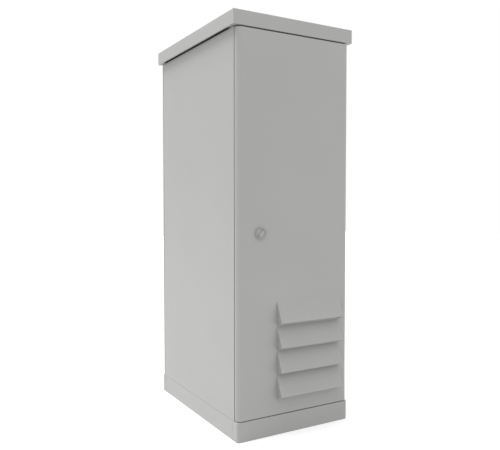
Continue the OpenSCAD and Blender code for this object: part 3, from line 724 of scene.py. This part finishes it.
nut_low, nut_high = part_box("filter_nuts")
nut_r = 9 * mm
stud_r = 3 * mm
nut_places = [
    (x, tray_high.y, z)
    for x in (nut_low.x + nut_r, nut_high.x - nut_r)
    for z in (nut_low.z + nut_r, nut_high.z - nut_r)
]
thumb_nuts = fasteners(
    "filter_thumb_nuts",
    thumb_nut(nut_r, nut_high.y - tray_high.y, stud_r, tray_high.y - nut_low.y),
    nut_places,
    (0, 1, 0),
    zinc_plating,
    "door",
)
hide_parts("filter_nuts")


# Lock: a dished rosette and turn knob outside; inside, a case, a cam with two drive pins, and two flat rods
# in moulded guides. The knob is die cast and coated like the door, the works are zinc-plated steel.
finish(["lock_case", "lock_rod_upper", "lock_rod_lower"], zinc_plating)
cam_edge = 0.25 * mm
finish(["lock_cam"], zinc_plating, cam_edge)
finish(["rod_guides"], black_polyamide)
case_low, case_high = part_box("lock_case")
case_middle = (case_low + case_high) / 2
knob_low, knob_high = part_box("lock_knob")
rosette_low, rosette_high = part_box("lock_rosette")
door_face = rosette_high.y
lock_clear = 0.4 * mm
turn_steps = 72
disc_low = 2.4 * mm
disc_t = 3 * mm
disc_edge = 0.9 * mm
disc_r = (knob_high.x - knob_low.x) / 2
grip_w = 12 * mm
grip_half = disc_r - grip_w / 2 - lock_clear
grip_turn = math.radians(45)
grip_draft = (0.9, 0.64, 1)
grip_edge = 2.4 * mm
shaft_r = 7 * mm
shaft_low = door_face - case_high.y
tang_w = 8 * mm
knob_shape = bmesh.new()
turned_up(knob_shape, flat_ring(knob_shape, 32, shaft_r, shaft_low), disc_low - shaft_low)
tang = flat_ring(knob_shape, 4, tang_w / math.sqrt(2), door_face - knob_high.y)
bmesh.ops.rotate(knob_shape, matrix=Matrix.Rotation(math.pi / 4, 3, "Z"), verts=tang)
turned_up(knob_shape, tang, knob_high.y - case_high.y)
turned_up(knob_shape, flat_ring(knob_shape, turn_steps, disc_r, disc_low), disc_t, disc_edge, 3)
grip = flat_ring(knob_shape, 50, grip_w / 2, disc_low)
for vert in grip:
    vert.co.x += math.copysign(grip_half, vert.co.x)
bmesh.ops.rotate(knob_shape, matrix=Matrix.Rotation(grip_turn, 3, "Z"), verts=grip)
grip_top = door_face - knob_low.y
foot = list({face for vert in grip for face in vert.link_faces})
raised = bmesh.ops.extrude_face_region(knob_shape, geom=foot)["geom"]
top = [part for part in raised if isinstance(part, bmesh.types.BMVert)]
bmesh.ops.translate(knob_shape, vec=(0, 0, grip_top - disc_low), verts=top)
bmesh.ops.scale(knob_shape, vec=grip_draft, space=Matrix.Rotation(-grip_turn, 4, "Z"), verts=top)
rim = [part for part in raised if isinstance(part, bmesh.types.BMEdge)]
bmesh.ops.bevel(
    knob_shape, geom=rim, offset=grip_edge, segments=5, profile=0.5, affect="EDGES", material=-1
)
bmesh.ops.recalc_face_normals(knob_shape, faces=knob_shape.faces)
on_door = Matrix.Translation((case_middle.x, door_face, case_middle.z)) @ Matrix.Rotation(math.pi / 2, 4, "X")
bmesh.ops.transform(knob_shape, matrix=on_door, verts=knob_shape.verts)
turn_knob = make_piece("turn_knob", knob_shape, grey_coating, "knob")
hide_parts("lock_knob")
rosette_r = (rosette_high.x - rosette_low.x) / 2
rosette_h = door_face - rosette_low.y
rim_r = 1.2 * mm
lip_r = rosette_r - 2 * rim_r
lip_h = rosette_h - rim_r
bore_r = shaft_r + lock_clear
seat_h = disc_low - lock_clear
dish_r = disc_r + lock_clear
disc_proud = 0.6 * mm
dish_low = disc_low + disc_t - disc_proud
dish_steps = 8
outline = [(bore_r, 0), (rosette_r, 0)]
for i in range(dish_steps + 1):
    angle = math.pi * i / dish_steps
    outline.append((rosette_r - rim_r + rim_r * math.cos(angle), lip_h + rim_r * math.sin(angle)))
for i in range(1, dish_steps + 1):
    inward = i / dish_steps
    fall = (lip_h - dish_low) * math.sin(inward * math.pi / 2)
    outline.append((lip_r - (lip_r - dish_r) * inward, lip_h - fall))
outline += [(dish_r, seat_h), (bore_r, seat_h)]
dish_shape = bmesh.new()
ring = [dish_shape.verts.new((radius, 0, height)) for radius, height in outline]
edges = [dish_shape.edges.new(pair) for pair in zip(ring, ring[1:] + ring[:1])]
bmesh.ops.spin(
    dish_shape,
    geom=ring + edges,
    cent=(0, 0, 0),
    axis=(0, 0, 1),
    angle=2 * math.pi,
    steps=turn_steps,
    use_merge=True,
)
bmesh.ops.recalc_face_normals(dish_shape, faces=dish_shape.faces)
bmesh.ops.transform(dish_shape, matrix=on_door, verts=dish_shape.verts)
rosette = make_piece("dished_rosette", dish_shape, grey_coating, "door")
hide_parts("lock_rosette")
case_screw_in = 6 * mm
case_head = (4 * mm, 2.4 * mm, 3 * mm)
cam_head = (10 * mm, 3 * mm, 7 * mm)
fasteners(
    "lock_case_screws",
    socket_screw(*case_head),
    [
        (x, case_high.y, z)
        for x in (case_low.x + case_screw_in, case_high.x - case_screw_in)
        for z in (case_low.z + case_screw_in, case_high.z - case_screw_in)
    ],
    (0, 1, 0),
    zinc_plating,
    "door",
)
fasteners(
    "lock_cam_screw",
    hex_bolt(*cam_head),
    [(case_middle.x, knob_high.y, case_middle.z)],
    (0, 1, 0),
    zinc_plating,
    "knob",
)


# Studio: a pale floor, a white surround that is dimmer behind the left side, and one soft, distant lamp
# from high up there. The floor looks white to the camera, apart from the object's shadow, and it throws
# an even light back at the object.
scene = bpy.context.scene
scene.view_settings.view_transform = "Standard"
ambient = 1.06
left_ambient = 0.7
dim_side = (-0.8, 0.6, 0.0)
floor_size = 30.0
floor_drop = 0.2 * mm
floor_bounce = 0.37
floor_glow = 0.6
floor_shape = bmesh.new()
bmesh.ops.create_grid(floor_shape, x_segments=1, y_segments=1, size=floor_size / 2)
bmesh.ops.translate(floor_shape, vec=(0, 0, -floor_drop), verts=floor_shape.verts)
floor_mesh = bpy.data.meshes.new("floor")
floor_shape.to_mesh(floor_mesh)
floor_shape.free()
floor = bpy.data.objects.new("floor", floor_mesh)
scene.collection.objects.link(floor)
floor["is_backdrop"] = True
pale_floor, tree, _ = new_material("pale studio floor")
path = add(tree, "LightPath", {})
looked_at = add(
    tree, "Math", {0: path.outputs["Is Camera Ray"], 1: path.outputs["Is Glossy Ray"]}, operation="MAXIMUM"
)
bounce = add(tree, "Emission", {"Strength": floor_bounce})
dull = add(tree, "BsdfDiffuse", {"Color": linear("#7E7E7E")})
matt = add(tree, "AddShader", {0: dull.outputs[0], 1: bounce.outputs[0]})
shaded = add(tree, "BsdfDiffuse", {"Color": linear("#BCBCBC")})
glow = add(tree, "Emission", {"Strength": floor_glow})
lit = add(tree, "AddShader", {0: shaded.outputs[0], 1: glow.outputs[0]})
mix = add(tree, "MixShader", {0: looked_at.outputs[0], 1: matt.outputs[0], 2: lit.outputs[0]})
add(tree, "OutputMaterial", {"Surface": mix.outputs[0]})
floor_mesh.materials.append(pale_floor)

world = bpy.data.worlds.new("studio surround")
scene.world = world
world.use_nodes = True
world.node_tree.nodes.clear()
tree = world.node_tree
path = add(tree, "LightPath", {})
seen = add(
    tree, "Math", {0: path.outputs["Is Camera Ray"], 1: path.outputs["Is Glossy Ray"]}, operation="MAXIMUM"
)
seen = add(tree, "Math", {0: seen.outputs[0], 1: path.outputs["Is Transmission Ray"]}, operation="MAXIMUM")
direction = add(tree, "TexCoord", {}).outputs["Object"]
aside = add(tree, "VectorMath", {0: direction, 1: dim_side}, operation="DOT_PRODUCT")
around = add(tree, "MapRange", {"Value": aside.outputs["Value"], "To Min": ambient, "To Max": left_ambient})
level = add(tree, "Mix", {0: seen.outputs[0], 2: around.outputs["Result"], 3: 1.0}, data_type="FLOAT")
sky = add(tree, "Background", {"Color": (1, 1, 1, 1), "Strength": level.outputs[0]})
add(tree, "OutputWorld", {"Surface": sky.outputs[0]})

lamp_from = Vector((-0.25, 0.21, 0.945))
lamp_data = bpy.data.lights.new("soft lamp", "SUN")
lamp_data.energy = 4.2
lamp_data.angle = math.radians(26)
lamp = bpy.data.objects.new("soft lamp", lamp_data)
scene.collection.objects.link(lamp)
lamp.rotation_euler = lamp_from.to_track_quat("Z", "Y").to_euler()


# Camera: a 42 mm lens a little higher than the knob, looking slightly down.
# It is turned 30 degrees from the door's front towards the left side.
camera = bpy.data.objects.new("camera", bpy.data.cameras.new("camera"))
scene.collection.objects.link(camera)
scene.camera = camera
camera.data.sensor_width = 36
camera.data.lens = 42.035
camera.location = (-1.4949, -2.5995, 1.0314)
camera.rotation_euler = (math.radians(87.955), 0, math.radians(-30.081))

low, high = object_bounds()
